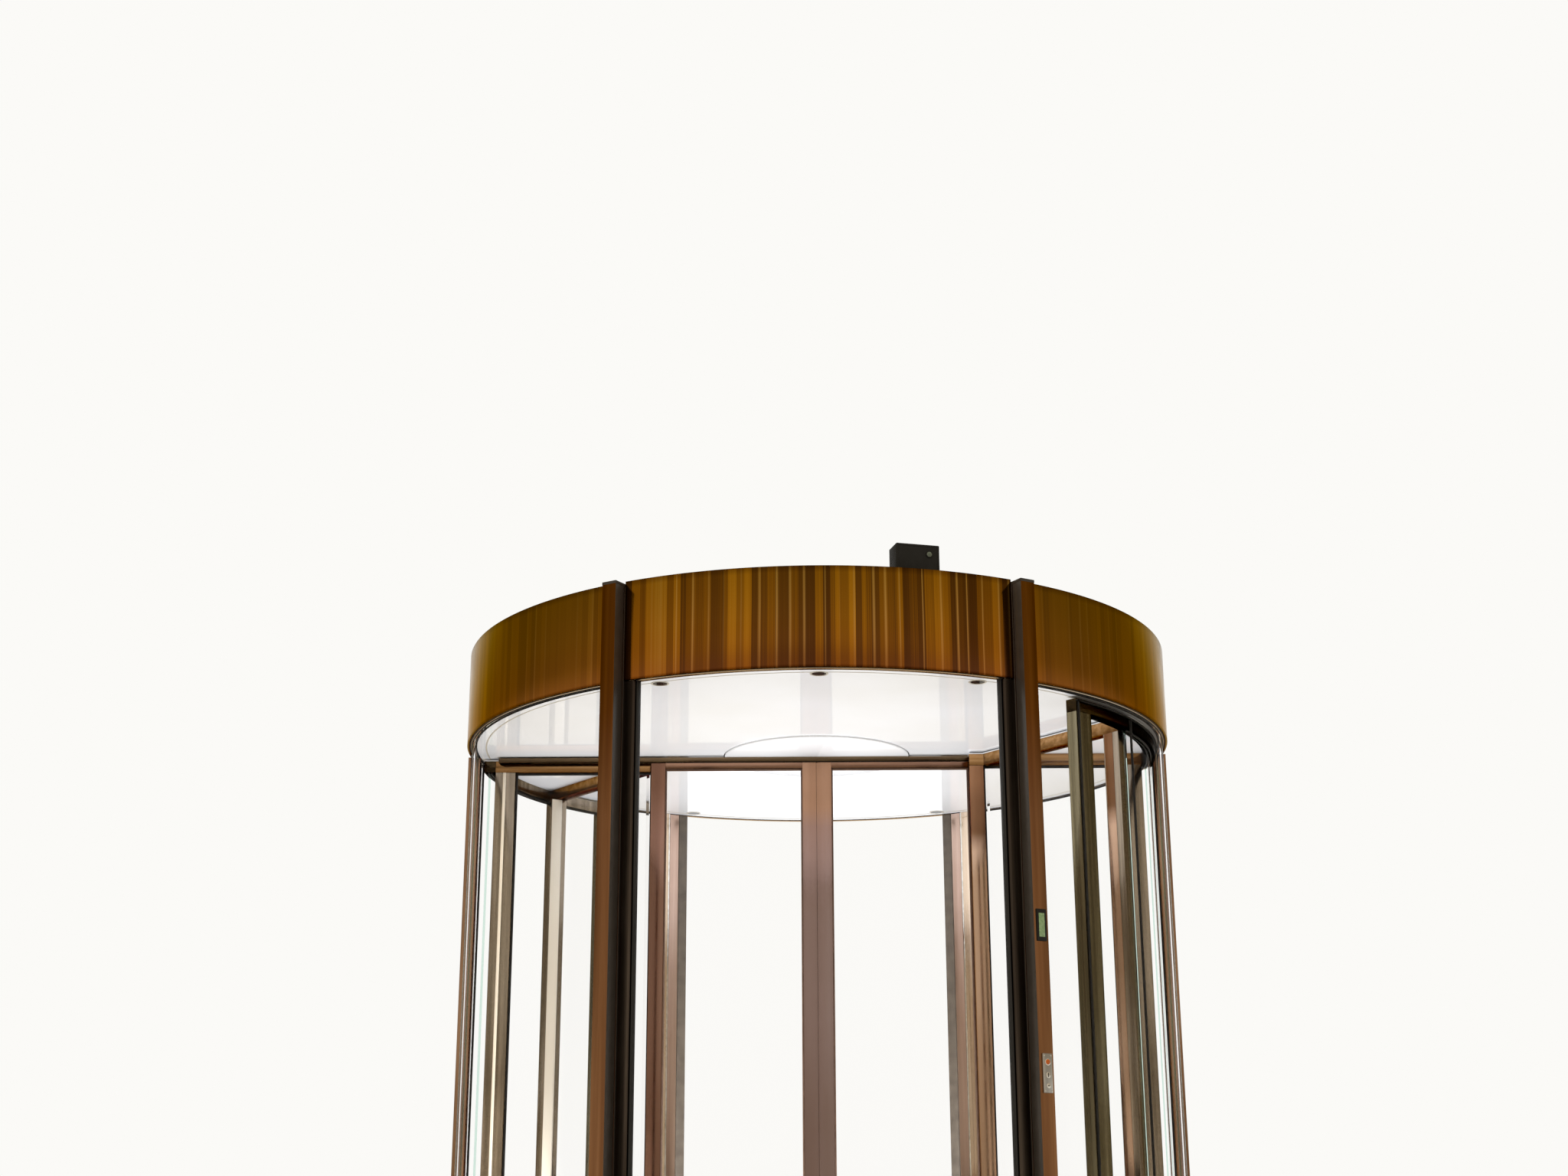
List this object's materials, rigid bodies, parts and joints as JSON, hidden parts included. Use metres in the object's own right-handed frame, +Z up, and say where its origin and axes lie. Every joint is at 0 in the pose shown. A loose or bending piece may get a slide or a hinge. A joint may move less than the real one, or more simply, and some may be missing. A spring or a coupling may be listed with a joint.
{
  "type": "two-wing revolving door",
  "caption": "Round drum of curved glass and bronze-coloured steel with a turning rotor of glazed showcases and sliding centre leaves.",
  "frame": {"origin": "centre of the drum on the finished floor", "axes": "+Z up along the rotor's axis, -Y towards the lobby the picture is taken from, +X along the wall line to the picture's right"},
  "size_m": [3.617, 3.6, 3.4013],
  "materials": {
    "bronze_steel": "mirror-polished bronze-coloured stainless steel",
    "rotor_bronze": "polished bronze-coloured profiles",
    "clear_glass": "clear laminated safety glass",
    "satin_steel": "satin stainless steel",
    "bright_steel": "polished stainless steel",
    "primed_steel": "dark primed steel",
    "white_gloss": "white gloss panel",
    "ribbed_mat": "ribbed entrance matting",
    "black_rubber": "matt black rubber",
    "black_plastic": "black moulded plastic"
  },
  "bodies": {
    "drum": {"floor_ring": "satin_steel", "entrance_mat": "ribbed_mat", "post_lobby_left": "bronze_steel", "post_lobby_right": "bronze_steel", "post_street_left": "bronze_steel", "post_street_right": "bronze_steel", "safety_edges": "black_rubber", "wall_post_left": "bronze_steel", "wall_post_right": "bronze_steel", "drum_glass_lobby_left": "clear_glass", "drum_glass_lobby_right": "clear_glass", "drum_glass_street_left": "clear_glass", "drum_glass_street_right": "clear_glass", "drum_sills_left": "bronze_steel", "drum_sills_right": "bronze_steel", "head_ring": "bright_steel", "fascia_lobby_centre": "bronze_steel", "fascia_lobby_left": "bronze_steel", "fascia_lobby_right": "bronze_steel", "fascia_street_centre": "bronze_steel", "fascia_street_left": "bronze_steel", "fascia_street_right": "bronze_steel", "ceiling": "white_gloss", "canopy_roof": "primed_steel", "bearing_beam": "primed_steel", "roof_box": "black_plastic", "switch_panel": "satin_steel", "ceiling_sensors": "black_plastic"},
    "rotor": {"rotor_hub": "white_gloss", "rotor_header": "satin_steel", "case_plinth_left": "rotor_bronze", "case_plinth_right": "rotor_bronze", "case_posts_left": "rotor_bronze", "case_posts_right": "rotor_bronze", "case_rails_left": "rotor_bronze", "case_rails_right": "rotor_bronze", "case_top_left": "white_gloss", "case_top_right": "white_gloss", "case_panes_left": "clear_glass", "case_panes_right": "clear_glass", "case_curved_glass_left": "clear_glass", "case_curved_glass_right": "clear_glass"},
    "left_leaf": {"leaf_frame_left": "rotor_bronze", "leaf_glass_left": "clear_glass"},
    "right_leaf": {"leaf_frame_right": "rotor_bronze", "leaf_glass_right": "clear_glass"}
  },
  "joints": [
    {"name": "rotor_spin", "type": "hinge", "parent": "drum", "child": "rotor", "pos_m": [0, 0, 0], "axis": [0, 0, 1], "continuous": true},
    {"name": "left_leaf_slide", "type": "slide", "parent": "rotor", "child": "left_leaf", "axis": [-1, 0, 0], "range_m": [0, 0.7]},
    {"name": "right_leaf_slide", "type": "slide", "parent": "rotor", "child": "right_leaf", "axis": [1, 0, 0], "range_m": [0, 0.7]}
  ],
  "couplings": [
    {"joint": "right_leaf_slide", "follows": "left_leaf_slide", "ratio": 1}
  ]
}
